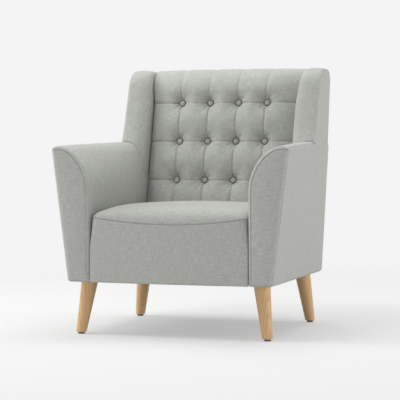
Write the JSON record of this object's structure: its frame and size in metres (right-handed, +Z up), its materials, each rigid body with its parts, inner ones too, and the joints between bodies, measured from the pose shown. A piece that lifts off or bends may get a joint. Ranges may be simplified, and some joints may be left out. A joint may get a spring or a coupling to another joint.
{
  "type": "armchair",
  "caption": "Upholstered wing armchair with a button-tufted back, flared rolled arms, a tight crowned seat and splayed tapered wooden legs.",
  "frame": {"origin": "On the floor, at the centre of the chair's box in plan.", "axes": "X points to the right of someone facing the chair, Y to the rear and Z up; the chair faces -Y."},
  "size_m": [0.7982, 0.7508, 0.881],
  "materials": {
    "cover_fabric": "matte",
    "foam": "matte",
    "frame_timber": "matte",
    "lining_board": "matte",
    "leg_beech": "satin",
    "glide_plastic": "matte",
    "steel": "satin",
    "webbing": "matte",
    "felt": "matte",
    "dust_cloth": "matte"
  },
  "bodies": {
    "root": {"arm_cover_left": "cover_fabric", "arm_cover_right": "cover_fabric", "arm_facing_left": "cover_fabric", "arm_facing_right": "cover_fabric", "arm_foam_left": "foam", "arm_foam_right": "foam", "arm_lining_left": "lining_board", "arm_lining_right": "lining_board", "arm_post_left": "frame_timber", "arm_post_right": "frame_timber", "arm_tack_rail_left": "frame_timber", "arm_tack_rail_right": "frame_timber", "arm_top_rail_left": "frame_timber", "arm_top_rail_right": "frame_timber", "back_cover": "cover_fabric", "back_foam": "foam", "back_lower_rail": "frame_timber", "back_post_left": "frame_timber", "back_post_right": "frame_timber", "back_top_rail": "frame_timber", "back_webbing": "webbing", "corner_blocks": "frame_timber", "dust_cover": "dust_cloth", "foot_glides": "glide_plastic", "frame_dowels": "frame_timber", "front_rail": "frame_timber", "leg_bolts": "steel", "leg_front_left": "leg_beech", "leg_front_right": "leg_beech", "leg_plates": "steel", "leg_rear_left": "leg_beech", "leg_rear_right": "leg_beech", "plate_screws": "steel", "rear_cover": "cover_fabric", "rear_rail": "frame_timber", "seat_cover": "cover_fabric", "seat_foam": "foam", "seat_front_cover": "cover_fabric", "seat_springs": "steel", "side_rail_left": "frame_timber", "side_rail_right": "frame_timber", "spring_clips": "steel", "spring_pad": "felt", "tuft_buttons": "cover_fabric", "tuft_cords": "webbing", "tuft_washers": "steel", "wing_cover_left": "cover_fabric", "wing_cover_right": "cover_fabric", "wing_foam_left": "foam", "wing_foam_right": "foam", "wing_panel_left": "frame_timber", "wing_panel_right": "frame_timber"}
  },
  "joints": []
}
